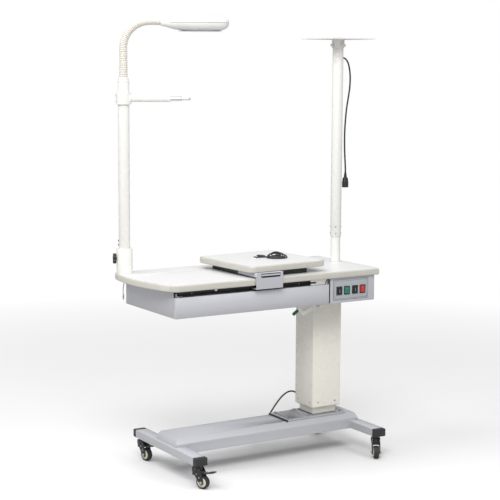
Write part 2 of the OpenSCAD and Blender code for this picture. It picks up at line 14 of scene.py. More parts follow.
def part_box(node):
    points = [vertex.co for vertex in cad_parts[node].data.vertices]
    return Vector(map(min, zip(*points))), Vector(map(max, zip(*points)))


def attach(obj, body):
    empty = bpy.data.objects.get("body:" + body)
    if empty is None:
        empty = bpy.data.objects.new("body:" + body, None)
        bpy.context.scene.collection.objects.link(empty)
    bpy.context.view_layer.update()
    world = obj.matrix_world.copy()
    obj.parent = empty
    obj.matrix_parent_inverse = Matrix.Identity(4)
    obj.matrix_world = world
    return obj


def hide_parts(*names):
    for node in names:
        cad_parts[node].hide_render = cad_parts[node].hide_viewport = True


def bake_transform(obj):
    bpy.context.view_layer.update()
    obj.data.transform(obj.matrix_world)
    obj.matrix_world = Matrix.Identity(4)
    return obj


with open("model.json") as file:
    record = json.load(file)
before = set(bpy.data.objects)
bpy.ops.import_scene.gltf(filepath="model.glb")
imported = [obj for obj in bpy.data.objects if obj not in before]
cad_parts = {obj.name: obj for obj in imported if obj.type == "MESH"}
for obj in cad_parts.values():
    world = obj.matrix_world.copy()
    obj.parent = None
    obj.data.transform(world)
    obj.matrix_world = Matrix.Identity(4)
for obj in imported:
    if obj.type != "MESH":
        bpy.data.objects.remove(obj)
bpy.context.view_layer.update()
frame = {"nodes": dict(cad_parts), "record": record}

MM = 0.001
NODES = frame["nodes"]
tube_low, tube_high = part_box("cross_tubes")
BASE = Vector(((tube_low.x + tube_high.x) / 2, (tube_low.y + tube_high.y) / 2, 0))


def at(x, y, z):
    """A point in the frame, in metres, from millimetres about the base's middle."""
    return BASE + Vector((x, y, z)) * MM


def placed(name, data):
    """An object of the scene, made from data."""
    made = bpy.data.objects.new(name, data)
    bpy.context.scene.collection.objects.link(made)
    return made


def fill(node, values):
    """Sets inputs of a material node."""
    for key, value in values.items():
        node.inputs[key].default_value = value


# Camera ----------------------------------------

CAMERA_AT = (-2854.1, -4551.6, 1535.8)
CAMERA_YAW = 0.5522
CAMERA_PITCH = -0.1311
CAMERA_ROLL = 0.0055
CAMERA_LENS = 100.76


def make_camera():
    data = bpy.data.cameras.new("camera")
    data.lens = CAMERA_LENS
    data.sensor_width = 36
    camera = placed("camera", data)
    c, s = cos(CAMERA_YAW), sin(CAMERA_YAW)
    level = cos(CAMERA_PITCH)
    forward = Vector((s * level, c * level, sin(CAMERA_PITCH)))
    right = Vector((c, -s, 0))
    up = right.cross(forward)
    across = right * cos(CAMERA_ROLL) + up * sin(CAMERA_ROLL)
    above = up * cos(CAMERA_ROLL) - right * sin(CAMERA_ROLL)
    turn = Matrix((across, above, -forward)).transposed().to_4x4()
    camera.matrix_world = Matrix.Translation(at(*CAMERA_AT)) @ turn
    data.clip_start, data.clip_end = 0.1, 60
    bpy.context.scene.camera = camera


# Materials -------------------------------------


class Surface:
    """A node material made of a few reusable parts."""

    def __init__(self, name, color, rough, metallic=0.0, coat=0.0):
        self.material = bpy.data.materials.new(name)
        self.material.use_nodes = True
        self.material.diffuse_color = (*color, 1)
        self.tree = self.material.node_tree
        self.shader = self.tree.nodes["Principled BSDF"]
        self.color = color
        fill(self.shader, {"Base Color": (*color, 1), "Roughness": rough, "Metallic": metallic,
                           "Coat Weight": coat, "Coat Roughness": 0.15})
        self.place = self.node("ShaderNodeTexCoord").outputs["Object"]
        self.height = None

    def node(self, kind, **settings):
        made = self.tree.nodes.new(kind)
        for key, value in settings.items():
            setattr(made, key, value)
        return made

    def link(self, a, b):
        self.tree.links.new(a, b)

    def noise(self, scale, detail=3.0, rough=0.55, stretch=(1, 1, 1)):
        mapping = self.node("ShaderNodeMapping")
        fill(mapping, {"Scale": stretch})
        self.link(self.place, mapping.inputs["Vector"])
        noise = self.node("ShaderNodeTexNoise")
        fill(noise, {"Scale": scale, "Detail": detail, "Roughness": rough})
        self.link(mapping.outputs["Vector"], noise.inputs["Vector"])
        return noise.outputs["Fac"]

    def ranged(self, value, low, high, start=0.3, end=0.7):
        ramp = self.node("ShaderNodeMapRange")
        fill(ramp, {"From Min": start, "From Max": end, "To Min": low, "To Max": high})
        self.link(value, ramp.inputs["Value"])
        return ramp.outputs["Result"]

    def mixed(self, factor, other):
        """Mixes the present colour towards another one by factor."""
        mix = self.node("ShaderNodeMix", data_type="RGBA")
        base = self.shader.inputs["Base Color"]
        if base.links:
            self.link(base.links[0].from_socket, mix.inputs["A"])
        else:
            mix.inputs["A"].default_value = (*self.color, 1)
        mix.inputs["B"].default_value = (*other, 1)
        self.link(factor, mix.inputs["Factor"])
        self.link(mix.outputs["Result"], base)
        return self

    def tint(self, value, other, share):
        """Mixes in another colour where value is high."""
        return self.mixed(self.ranged(value, 0.0, share), other)

    def gloss(self, value, low, high):
        self.link(self.ranged(value, low, high), self.shader.inputs["Roughness"])
        return self

    def bump(self, value, depth, strength=0.5):
        bump = self.node("ShaderNodeBump")
        fill(bump, {"Distance": depth, "Strength": strength})
        self.link(value, bump.inputs["Height"])
        if self.height:
            self.link(self.height, bump.inputs["Normal"])
        self.height = bump.outputs["Normal"]
        self.link(self.height, self.shader.inputs["Normal"])
        return self

    def worn(self, other, share):
        """Lightens convex edges, as handling does."""
        point = self.node("ShaderNodeNewGeometry").outputs["Pointiness"]
        return self.mixed(self.ranged(point, 0.0, share, 0.52, 0.60), other)


def shade(color, factor):
    return tuple(min(1.0, c * factor) for c in color)


def powder_coat(name, color, rough=0.42):
    s = Surface(name, color, rough, coat=0.1)
    s.tint(s.noise(3.0, 4), shade(color, 0.93), 0.6)
    s.tint(s.noise(900, 2), shade(color, 1.12), 0.5)
    s.gloss(s.noise(35, 4), rough - 0.06, rough + 0.08)
    s.bump(s.noise(1400, 2), 0.00012, 0.35).bump(s.noise(300, 2), 0.0002, 0.12)
    return s.worn(shade(color, 1.25), 0.5).material


def gloss_paint(name, color, rough=0.26):
    s = Surface(name, color, rough, coat=0.35)
    s.tint(s.noise(2.5, 4), shade(color, 0.95), 0.7)
    s.gloss(s.noise(22, 5), rough - 0.05, rough + 0.1)
    s.bump(s.noise(190, 2), 0.00025, 0.12).bump(s.noise(1500, 2), 0.00004, 0.2)
    return s.worn(shade(color, 1.1), 0.4).material


def laminate(name, color):
    s = Surface(name, color, 0.38)
    s.tint(s.noise(5, 5), shade(color, 0.95), 0.5)
    s.tint(s.noise(650, 3, 0.7), shade(color, 0.82), 0.45)
    s.gloss(s.noise(60, 4), 0.32, 0.46)
    s.bump(s.noise(800, 3), 0.00008, 0.4)
    return s.material


def moulded(name, color, rough=0.5, grain=0.4, coat=0.0):
    s = Surface(name, color, rough, coat=coat)
    s.tint(s.noise(12, 4), shade(color, 0.86), 0.6)
    s.tint(s.noise(260, 4), tuple(c + 0.012 for c in color), 0.6)
    s.gloss(s.noise(90, 4), rough - 0.07, rough + 0.1)
    s.bump(s.noise(1100, 3, 0.7), 0.0001, grain)
    return s.worn(tuple(c * 1.2 + 0.02 for c in color), 0.6).material


def brushed(name, color, along, rough):
    s = Surface(name, color, rough, metallic=1.0)
    stretch = tuple(0.03 if axis == along else 1.0 for axis in "XYZ")
    streaks = s.noise(900, 3, 0.6, stretch)
    s.tint(streaks, shade(color, 0.75), 0.6)
    s.tint(s.noise(9, 4), shade(color, 0.9), 0.5)
    s.gloss(streaks, rough - 0.08, rough + 0.14)
    s.bump(streaks, 0.00005, 0.5)
    return s.material


def plated(name, color, rough):
    s = Surface(name, color, rough, metallic=1.0)
    s.tint(s.noise(40, 4), shade(color, 0.85), 0.5)
    s.gloss(s.noise(160, 4), rough - 0.04, rough + 0.12)
    s.bump(s.noise(700, 2), 0.00003, 0.3)
    return s.material


def rubber(name, color, rough):
    s = Surface(name, color, rough)
    s.tint(s.noise(30, 5), tuple(c + 0.03 for c in color), 0.6)
    s.tint(s.noise(500, 3), tuple(c + 0.015 for c in color), 0.6)
    s.gloss(s.noise(120, 3), rough - 0.12, rough + 0.08)
    s.bump(s.noise(600, 4), 0.00015, 0.5)
    return s.material


def opal(name):
    s = Surface(name, (0.86, 0.88, 0.9), 0.35)
    fill(s.shader, {"Subsurface Weight": 0.4, "Subsurface Radius": (0.01, 0.01, 0.01)})
    s.tint(s.noise(25, 3), (0.8, 0.83, 0.87), 0.5)
    prisms = s.node("ShaderNodeTexVoronoi")
    fill(prisms, {"Scale": 260})
    s.link(s.place, prisms.inputs["Vector"])
    s.bump(prisms.outputs["Distance"], 0.0006, 0.5)
    return s.material


CREAM = (0.87, 0.845, 0.765)
WHITE = (0.84, 0.83, 0.795)
SILVER = (0.47, 0.472, 0.505)
# For each slot of the record: the maker of its finish, and what it is given after the name
FINISHES = {
    "base_paint": (powder_coat, (0.485, 0.49, 0.52)),
    "caps": (moulded, (0.022, 0.022, 0.024), 0.5),
    "plates": (powder_coat, (0.40, 0.405, 0.43), 0.34),
    "fasteners": (plated, (0.55, 0.55, 0.54), 0.25),
    "column_paint": (gloss_paint, CREAM),
    "actuator": (powder_coat, (0.03, 0.03, 0.03)),
    "rod": (plated, (0.75, 0.75, 0.76), 0.08),
    "caster_black": (gloss_paint, (0.012, 0.012, 0.013), 0.22),
    "wheel": (rubber, (0.02, 0.02, 0.02), 0.6),
    "pedal": (gloss_paint, (0.03, 0.03, 0.032), 0.3),
    "nylon": (moulded, (0.78, 0.77, 0.72), 0.45),
    "case_paint": (powder_coat, SILVER),
    "tray_sheet": (powder_coat, (0.40, 0.40, 0.42)),
    "rail": (powder_coat, (0.012, 0.012, 0.012), 0.5),
    "laminate": (laminate, (0.79, 0.79, 0.79)),
    "panel": (powder_coat, (0.40, 0.42, 0.44), 0.36),
    "power_unit": (brushed, (0.55, 0.30, 0.10), "Z", 0.4),
    "pole_paint": (gloss_paint, WHITE),
    "cord_black": (rubber, (0.014, 0.014, 0.015), 0.42),
    "cord_grey": (rubber, (0.30, 0.30, 0.30), 0.5),
    "rocker_black": (moulded, (0.006, 0.006, 0.007), 0.42, 0.1, 0.0),
    "rocker_green": (moulded, (0.0, 0.19, 0.10), 0.22, 0.08, 0.4),
    "rocker_red": (moulded, (0.55, 0.02, 0.02), 0.22, 0.08, 0.4),
    # The glides' near-black is partly painted shade: it also stands for the shadow in the gap under
    # the platform
    "glides": (moulded, (0.02, 0.02, 0.02), 0.5),
    "knob": (moulded, (0.014, 0.014, 0.015), 0.42),
    "neck": (gloss_paint, (0.74, 0.70, 0.64), 0.36),
    "lamp_shell": (moulded, (0.82, 0.815, 0.79), 0.3, 0.12, 0.3),
    "diffuser": (opal,),
    "lever": (gloss_paint, (0.80, 0.79, 0.74)),
}
# The same for details that share a slot with another finish
EXTRA_FINISHES = {
    "edge_band": (moulded, (0.56, 0.54, 0.49), 0.42, 0.25),
    "ivory_hub": (moulded, (0.74, 0.70, 0.58), 0.32, 0.15),
    "green_grip": (moulded, (0.012, 0.13, 0.055), 0.4),
    "mark_white": (moulded, (0.42, 0.42, 0.42), 0.5, 0.1),
    "gasket": (rubber, (0.03, 0.03, 0.035), 0.6),
}


def made(finishes):
    return {name: make(name, *given) for name, (make, *given) in finishes.items()}


MATERIALS, EXTRA = made(FINISHES), made(EXTRA_FINISHES)

# Mesh building ---------------------------------

SHARP = radians(32)


def finished(name, build, body, slot, bevel=0.0, replaced=(), finish=None, materials=None):
    """Links what was built as a piece that rides on body.

    It has the finish of the record's slot, or the extra one named by finish.
    """
    mesh = to_mesh(name, build)
    piece = placed(name, mesh)
    for material in materials or [EXTRA[finish] if finish else MATERIALS[slot]]:
        mesh.materials.append(material)
    smooth(mesh)
    if bevel:
        round_edges(piece, bevel, 3)
    if body:
        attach(piece, body)
    if replaced:
        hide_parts(*replaced)
    return piece


def smooth(mesh):
    mesh.polygons.foreach_set("use_smooth", [True] * len(mesh.polygons))
    mesh.set_sharp_from_angle(angle=SHARP)


def round_edges(piece, width, segments):
    bevel = piece.modifiers.new("rounded", "BEVEL")
    bevel.width = width * MM
    bevel.segments = segments
    bevel.limit_method = "ANGLE"
    bevel.angle_limit = SHARP
    bevel.harden_normals = False
    bevel.use_clamp_overlap = True


def to_mesh(name, build):
    bmesh.ops.recalc_face_normals(build, faces=build.faces)
    mesh = bpy.data.meshes.new(name)
    build.to_mesh(mesh)
    build.free()
    return mesh


def add_rings(build, rings, closed_ends=True, material=0):
    """Skins a list of equal rings of points."""
    rows = [[build.verts.new(p) for p in ring] for ring in rings]
    count = len(rows[0])
    for low, high in zip(rows, rows[1:]):
        for k in range(count):
            n = (k + 1) % count
            build.faces.new((low[k], low[n], high[n], high[k])).material_index = material
    if closed_ends:
        build.faces.new(rows[0][::-1]).material_index = material
        build.faces.new(rows[-1]).material_index = material
    return rows


def headed(turn):
    """The level unit vector turned by degrees from X, and the one a quarter turn further."""
    c, s = cos(radians(turn)), sin(radians(turn))
    return Vector((c, s, 0)), Vector((-s, c, 0))


def axes_across(direction):
    """Two unit vectors square to direction and to each other."""
    z = Vector(direction).normalized()
    x = Vector((1, 0, 0)) if abs(z.z) > 0.999 else z.orthogonal().normalized()
    return x, z.cross(x)


def circle_ring(centre, direction, radius, count):
    """radius is a number, or a function of the angle, in millimetres."""
    x, y = axes_across(direction)
    ring = []
    for k in range(count):
        a = 2 * pi * k / count
        r = (radius(a) if callable(radius) else radius) * MM
        ring.append(centre + (x * cos(a) + y * sin(a)) * r)
    return ring


def add_lathe(build, origin, direction, profile, count):
    """profile lists (radius, distance along direction), in millimetres."""
    z = Vector(direction).normalized()
    add_rings(build, [circle_ring(origin + z * h * MM, z, r, count) for r, h in profile])


def skin(name, rings, body, slot, closed_ends=True, **more):
    """A piece of one skinned list of rings."""
    build = bmesh.new()
    add_rings(build, rings, closed_ends)
    return finished(name, build, body, slot, **more)


def lathes(name, turned, body, slot, **more):
    """A piece of turned solids, each given as (origin, direction, profile, count)."""
    build = bmesh.new()
    for solid in turned:
        add_lathe(build, *solid)
    return finished(name, build, body, slot, **more)


def lathe(name, origin, direction, profile, body, slot, count, **more):
    return lathes(name, [(origin, direction, profile, count)], body, slot, **more)


def boxes(name, spans, body, slot, **more):
    """A piece of boxes, each given by its spans along x, y and z."""
    build = bmesh.new()
    for x, y, z in spans:
        add_rings(build, [[at(x[i], y[j], h) for i, j in ((0, 0), (1, 0), (1, 1), (0, 1))]
                          for h in z])
    return finished(name, build, body, slot, **more)


def rounded_polygon(corners, radii, steps=8):
    """Rounds the corners of a polygon given counter-clockwise, as (x, y) pairs in millimetres."""
    outline = []
    count = len(corners)
    for i, corner in enumerate(corners):
        here = Vector(corner)
        before = (Vector(corners[i - 1]) - here).normalized()
        after = (Vector(corners[(i + 1) % count]) - here).normalized()
        half = before.angle(after) / 2
        reach = radii[i] / tan(half)
        start, end = here + before * reach, here + after * reach
        centre = here + (before + after).normalized() * (radii[i] / sin(half))
        a = atan2(*(start - centre).yx)
        b = atan2(*(end - centre).yx)
        while b < a:
            b += 2 * pi
        outline += [(centre.x + radii[i] * cos(a + (b - a) * k / steps),
                     centre.y + radii[i] * sin(a + (b - a) * k / steps))
                    for k in range(steps + 1)]
    return outline


def rounded_box(x, y, radius, steps=8):
    """The outline of a rectangle with rounded corners, from its spans along x and y."""
    return rounded_polygon([(x[0], y[0]), (x[1], y[0]), (x[1], y[1]), (x[0], y[1])],
                           [radius] * 4, steps)


def inset_outline(outline, amount):
    """Moves each point of a closed counter-clockwise outline inwards by amount."""
    moved = []
    count = len(outline)
    for i, point in enumerate(outline):
        before = (Vector(point) - Vector(outline[i - 1])).normalized()
        after = (Vector(outline[(i + 1) % count]) - Vector(point)).normalized()
        inward = Vector((-before.y - after.y, before.x + after.x)).normalized()
        share = max(0.5, inward.dot(Vector((-before.y, before.x))))
        moved.append((point[0] + inward.x * amount / share, point[1] + inward.y * amount / share))
    return moved


def arc_profile(radius):
    """(inset, drop) pairs of a quarter round."""
    turns = [pi / 2 * k / 5 for k in range(6)]
    return [(radius * (1 - sin(a)), radius * (1 - cos(a))) for a in turns]


def level_rings(outline, levels):
    """Level rings of an outline, from (inset, height) pairs."""
    return [[at(x, y, z) for x, y in inset_outline(outline, inset)] for inset, z in levels]


def upright_rings(levels):
    """Rings across y, from (outline in x and z, y) pairs."""
    return [[at(x, y, z) for x, z in outline] for outline, y in levels]


def board(name, outline, z, body, replaced):
    """A laminated board with a moulded, round-nosed edge band."""
    nose = 5.0
    groove = nose + 1.6
    top = arc_profile(nose)
    levels = [(inset, z[0] + drop) for inset, drop in top]
    levels += [(inset, z[1] - drop) for inset, drop in reversed(top)]
    levels += [(groove, z[1]), (groove + 0.3, z[1] - 0.25), (groove + 0.6, z[1])]
    build = bmesh.new()
    rows = add_rings(build, level_rings(outline, levels), False)
    build.faces.new(rows[0][::-1]).material_index = 1
    build.faces.new(rows[-1]).material_index = 1
    finished(name, build, body, "laminate", replaced=replaced,
             materials=[EXTRA["edge_band"], MATERIALS["laminate"]])


HEX = pi / 3
SCREW_STEPS = 36


def hexagon(across):
    """The radius of a hexagon across its flats, by angle."""
    return lambda a: across / 2 / cos((a % HEX) - HEX / 2)


def screw_profile(radius, height):
    """A domed screw head with a hexagon socket."""
    socket = hexagon(radius * 0.95)
    return [(radius * 0.96, 0), (radius, height * 0.15), (radius, height * 0.45),
            (radius * 0.88, height * 0.8), (radius * 0.66, height), (socket, height),
            (socket, height * 0.35)]


def screws(name, spots, body, radius, height, slot="fasteners", **more):
    """A screw head at each (seat, direction)."""
    head = screw_profile(radius, height)
    return lathes(name, [(seat, way, head, SCREW_STEPS) for seat, way in spots], body, slot,
                  **more)


# CAD nodes that stay in view: (radius of their edges, segments, nodes)
EDGES = [(0.5, 2, ("caster_stems", "rocker_up", "rocker_down", "rocker_power", "rocker_lamp")),
         (0.6, 2, ("table_case", "control_panel")),
         (0.8, 2, ("foot_plates", "drawer_tray", "guide_rail")),
         (0.9, 2, ("control_box", "pedal_fl", "pedal_bl")),
         (0.9, 3, ("platform_bracket",)),
         (1.0, 2, ("fork_fl", "fork_bl", "fork_fr", "fork_br")),
         (1.1, 3, ("drawer_front",)),
         (1.2, 2, ("platform_glides", "tray")),
         (1.8, 3, ("clamp_knob",)),
         (2, 2, ("actuator_body",)),
         (2.4, 3, ("base_cover",)),
         (2.5, 3, ("cross_tubes", "tube_caps")),
         (3, 2, ("power_supply",)),
         (3, 3, ("inner_column",)),
         (4, 4, ("outer_column",))]


def soften_edges():
    for width, segments, nodes in EDGES:
        for node in nodes:
            piece = NODES[node]
            weld = piece.modifiers.new("weld", "WELD")
            weld.merge_threshold = 0.00002
            round_edges(piece, width, segments)
            smooth(piece.data)


# Curves ----------------------------------------


def catmull(points, per_step):
    """A smooth line through points, with per_step stretches between each two."""
    line = []
    last = len(points) - 1
    for i in range(last):
        a, b, c, d = points[max(i - 1, 0)], points[i], points[i + 1], points[min(i + 2, last)]
        for k in range(per_step):
            t = k / per_step
            line.append(0.5 * (2 * b + (c - a) * t + (2 * a - 5 * b + 4 * c - d) * t * t
                               + (3 * b - a - 3 * c + d) * t * t * t))
    line.append(points[last])
    return line


def cord(name, line, diameter, body, slot, replaced):
    """A cord along line."""
    data = bpy.data.curves.new(name, "CURVE")
    data.dimensions = "3D"
    data.bevel_depth = diameter / 2 * MM
    data.bevel_resolution = 5
    data.use_fill_caps = True
    spline = data.splines.new("POLY")
    spline.points.add(len(line) - 1)
    for point, place in zip(spline.points, line):
        point.co = (*place, 1)
    piece = placed(name, data)
    data.materials.append(MATERIALS[slot])
    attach(piece, body)
    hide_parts(*replaced)


# Shared places of the design, in millimetres ---

POLE = (-502, 172)
MAST = (380, 40)
TOP_Z, TOP_THICK = 753, 25
POLE_TOP = TOP_Z + 725
MAST_TOP = TOP_Z + 887
NECK_RISE = 120
NECK_BEND = 98
NECK_ARC = NECK_BEND * pi / 2
NECK_END = NECK_RISE + NECK_ARC + 49
CASTERS = {"fl": (-405, -218, -61), "bl": (-405, 218, -78),
           "fr": (405, -218, -120), "br": (405, 218, -100)}
WHEEL_R = 25
TRAIL = 24
COLUMN_X = 273.5
BOARD_TOP, BOARD_THICK = 799, 24
BOARD_AT = (-9.5, -20)
BOARD_TURN = radians(4.5)
ARM_OUT, ARM_SIDE = headed(-29.5)
UP = Vector((0, 0, 1))


def neck_at(s):
    """The neck's centre and direction at distance s from the pole's top."""
    turn = min(max(s - NECK_RISE, 0), NECK_ARC) / NECK_BEND
    out = NECK_BEND * (1 - cos(turn)) + max(s - NECK_RISE - NECK_ARC, 0)
    rise = min(s, NECK_RISE) + NECK_BEND * sin(turn)
    centre = at(*POLE, POLE_TOP + rise) + ARM_OUT * out * MM
    return centre, (UP * cos(turn) + ARM_OUT * sin(turn)).normalized()


# Cords -----------------------------------------

MAINS_ROUTE = [(262, 76, 172), (262, 86, 173), (260, 97, 178), (254, 105, 190), (245, 107, 205),
               (233, 104, 217), (218, 100, 223), (201, 98, 224), (183, 97, 219), (162, 97, 205),
               (140, 97, 183), (118, 98, 155), (98, 101, 124), (83, 107, 98), (73, 119, 76),
               (69, 136, 57), (70, 156, 40), (75, 177, 25), (82, 199, 12), (89, 219, 5),
               (96, 236, 3.4), (100, 246, 3.3)]
PROJECTOR_ROUTE = [(400, 40, 1568), (410, 40, 1567), (421, 40, 1560), (430, 40, 1547),
                   (436, 40, 1528), (440, 40, 1505), (441, 40, 1480), (439, 40, 1447),
                   (433, 40, 1410), (426, 40, 1370), (421, 40, 1325), (418, 40, 1275),
                   (418, 40, 1225), (420, 40, 1180), (423, 40, 1140), (424, 40, 1113)]
LAMP_ROUTE = [(-515, 150, 728), (-516, 150, 716), (-519, 150, 702), (-520, 150, 688),
              (-519, 150, 673)]
CORD_D = 6.5
COIL_AT = (141, 252)
COIL_OUTER = 39.5
COIL_INNER = 26.5
COIL_TURNS = 19 / 3
PLUG_AT = (COIL_AT[0] + 69, COIL_AT[1] + 5.7, 10)
PLUG_WAY, PLUG_SIDE = headed(-30)


def around(centre, radius, angle, z):
    return Vector((centre[0] + radius * cos(angle), centre[1] + radius * sin(angle), z))


def eased(share):
    return share * share * (3 - 2 * share)


def mains_lead():
    """Arches out of the gland, drops behind the base and ends in a three-layer coil."""
    route = catmull([Vector(p) for p in MAINS_ROUTE], 4)
    steps = 40
    span = COIL_OUTER - COIL_INNER
    for k in range(1, round(COIL_TURNS * steps) + 1):
        turn = k / steps
        if turn < 2:
            radius, layer = COIL_OUTER - span * turn / 2, 0
        elif turn < 3:
            radius, layer = COIL_INNER, turn - 2
        elif turn < 5:
            radius, layer = COIL_INNER + span * (turn - 3) / 2, 1
        else:
            radius, layer = COIL_OUTER, min(turn - 4, 2)
        route.append(around(COIL_AT, radius, pi - 2 * pi * turn,
                            CORD_D / 2 + 0.1 + CORD_D * layer))
    end = route[-1]
    tail = Vector(PLUG_AT) - PLUG_WAY * 21
    for share in (0.25, 0.5, 0.75, 1.0):
        point = end.lerp(tail, share)
        route.append(Vector((point.x, point.y, end.z + (tail.z - end.z) * eased(share))))
    body, pins = mains_plug()
    cord("mains_cord", [at(*p) for p in route], CORD_D, "base", "cord_black",
         ["mains_lead", "mains_coil"])


def relief(first, growth):
    """The (radius, height) pairs of a strain relief with five ribs, each wider than the last."""
    ribs = []
    for k in range(5):
        r, h = first + k * growth, k * 3.6 - 19
        ribs += [(r, h), (r, h + 2), (r - 0.7, h + 2.4)]
    return ribs


def plug_rings(origin, axes, radius, stations):
    """Rounded squares along the first axis, from (distance, half width, half height)."""
    way, across, tall = axes
    outline = rounded_box((-1, 1), (-1, 1), radius)
    return [[origin + (way * u + across * a * w + tall * b * h) * MM for a, b in outline]
            for u, w, h in stations]


def mains_plug():
    origin = at(*PLUG_AT)
    build = bmesh.new()
    add_lathe(build, origin, PLUG_WAY,
              [(4.2, -22), (4.2, -20), *relief(4.6, 0.6), (8, 0), (8, 1)], 40)
    stations = [(0, 8, 7), (4, 11, 8.5), (14, 13.6, 9.6), (26, 13.8, 9.8), (36, 13.2, 9.4),
                (38, 12, 8.6)]
    add_rings(build, plug_rings(origin, (PLUG_WAY, PLUG_SIDE, UP), 0.55, stations))
    body = finished("mains_plug_body", build, "base", "cord_black", replaced=["mains_plug"])
    pin = [(2.4, 37), (2.4, 54), (2.0, 56), (1.2, 57)]
    pins = lathes("mains_plug_pins", [(origin + PLUG_SIDE * side * 9.5 * MM, PLUG_WAY, pin, 24)
                                      for side in (-1, 1)], "base", "fasteners")
    return body, pins


def projector_lead():
    spot = (424, 40)
    ribs = [(r, -h) for r, h in relief(4.3, 0.5)]
    sleeve = [(3.9, 22), (4.0, 20), *ribs, (6.6, 0.4), (6.6, -1)]
    build = bmesh.new()
    add_lathe(build, at(*spot, 1091), UP, sleeve[::-1], 40)
    stations = [(1051, 10.6, 8.6), (1052, 11, 9), (1074, 11, 9), (1076, 10.2, 8.4),
                (1086, 9.4, 7.8), (1091, 7.4, 6.6)]
    axes = (UP, Vector((1, 0, 0)), Vector((0, 1, 0)))
    add_rings(build, plug_rings(at(*spot, 0), axes, 0.35, stations))
    plug = finished("projector_connector", build, "table", "cord_black",
                    replaced=["projector_plug"])
    line = catmull([at(*p) for p in PROJECTOR_ROUTE], 4)
    cord("projector_cord", line, CORD_D, "table", "cord_black", ["projector_lead"])
    lathe("projector_grommet", at(MAST[0] + 19.6, MAST[1], 1568), (1, 0, 0),
          [(3.4, 0), (3.7, 0), (3.7, 1.6), (6.4, 1.6), (6.6, 2.4), (5.4, 3.6), (3.4, 3.8)],
          "table", "cord_black", 32)


def lamp_lead():
    plug = lathe("lamp_lead_connector", at(-519, 150, 655), UP,
                 [(2.0, 0), (2.6, 0.6), (2.6, 9), (3.2, 9.6), (3.2, 15), (2.4, 17), (1.7, 18)],
                 "table", "cord_grey", 28, replaced=["lamp_lead_plug"])
    line = catmull([at(*p) for p in LAMP_ROUTE], 5)
    cord("lamp_cord", line, 3.2, "table", "cord_grey", ["lamp_lead"])


LOOP_START, TURNS_START, TURNS_BACK = (radians(a) for a in (200, 172, 58))
# How far the centre of the loose turns has moved after each turn
TURN_SHIFTS = [Vector(p) for p in ((0, 0), (3.0, 9.5), (4.0, 12.0), (2.0, 13.0))]


def platform_cord():
    """Leaves a grommet, makes a small loop, then loose leaning turns, and ends inside them."""
    d = 5.2
    loop, coil, hole = Vector((0, -1)), Vector((47, -44)), Vector((-34, -4))
    floor = BOARD_TOP + d / 2 + 0.1
    ceiling = BOARD_TOP + 20.8 - d / 2
    line = [Vector((hole.x, hole.y, BOARD_TOP + 1)),
            Vector((hole.x + 1.5, hole.y - 0.5, floor + 1.5)),
            Vector((hole.x + 9, hole.y - 3, floor + 0.3))]
    for k in range(14):
        turn = k / 12
        angle = LOOP_START + 2 * pi * turn
        line.append(around(loop, 14.6 + 0.8 * cos(angle * 2), angle,
                           floor + min(1.0, turn * 1.15) * d * 0.95))
    line += [Vector((4, -19, floor + 3.6)), Vector((9, -27, floor + 1.4))]
    turns, steps = 2.75, 14
    for k in range(round(turns * steps) + 1):
        turn = k / steps
        angle = TURNS_START + 2 * pi * turn
        whole = int(turn)
        shift = TURN_SHIFTS[whole].lerp(TURN_SHIFTS[min(whole + 1, 3)], turn - whole)
        radius = 40.3 - 6.6 * turn + 0.8 * cos(angle * 2 + 1)
        back = max(0.0, cos(angle - TURNS_BACK))
        height = floor + back * (6.5 + 2.4 * turn) + min(turn, 1.6) * 1.8
        line.append(around(coil + shift, radius, angle, min(height, ceiling)))
    # The last stretch bends from the turns' heading into the connector
    centre = Vector((coil.x + 4, coil.y + 6, BOARD_TOP + 6.8))
    way, across = headed(-25)
    last, lead_in = line[-1], centre - way * 14
    heading = (line[-1] - line[-2]).normalized()
    for share in (0.35, 0.7, 1.0):
        a = last + heading * 24 * share
        b = lead_in - way * 22 * (1 - share)
        line.append(a.lerp(b, eased(share)))
    stations = [(-14, 3.2, 3.2), (-8, 4.2, 4.0), (-6, 6.2, 5.6), (-4, 6.9, 6.3),
                (12.5, 6.9, 6.3), (14, 6.2, 5.8)]
    plug = skin("platform_connector", plug_rings(at(*centre), (way, across, UP), 0.4, stations),
                "platform", "cord_black", replaced=["platform_plug"])
    smoothed = catmull([at(*p) for p in line], 5)
    cord("platform_cord", smoothed, d, "platform", "cord_black", ["platform_coil"])
    lathe("platform_grommet", at(hole.x, hole.y, BOARD_TOP - 0.4), UP,
          [(7.5, 0), (7.5, 1.2), (6.6, 2.0), (3.4, 2.0), (3.2, 0.6)], "platform", "nylon", 32)


# Base ------------------------------------------


def base_looks():
    spots = [(x, side * 55, 158) for x in (COLUMN_X - 77.5, COLUMN_X + 77.5) for side in (-1, 1)]
    spots += [(108, side * 55, 156) for side in (-1, 1)]
    # Black strips painted as shade: one on the access plate's left side face, and one in the gap
    # round the column's foot
    boxes("plate_edge_painted_shade", [((81.4, 84.9), (-75, 64), (150.1, 157.2))], "base", "cord_black",
          bevel=0.6)
    boxes("column_foot_painted_shade", [((213, 218.9), (-50, 50), (158.02, 159.4)),
                           ((213, 330), (-51, -47.6), (158.02, 158.8))], "base", "cord_black",
          bevel=0.3, finish="gasket")
    washer = [(8.4, 0), (8.4, 1.0), (8.0, 1.3), (4.2, 1.3)]
    bolts = []
    for x, y, z in spots:
        bolts += [(at(x, y, z), UP, washer, 32),
                  (at(x, y, z + 1.2), UP, screw_profile(6.8, 3.3), SCREW_STEPS)]
    lathes("base_bolt_heads", bolts, "base", "fasteners", replaced=["base_bolts"])
    # Weld beads where the cover meets the cross tubes
    build = bmesh.new()
    for side in (-1, 1):
        for edge in (-1, 1):
            add_rings(build, [circle_ring(at(side * (381 + 0.45 * sin(k * 1.3)),
                                             edge * (80.5 + 0.3 * sin(k)), 92 + k * 1.2),
                                          UP, 1.6 + 0.35 * sin(k * 2.1), 10)
                              for k in range(21)])
    finished("weld_beads", build, "base", "base_paint")


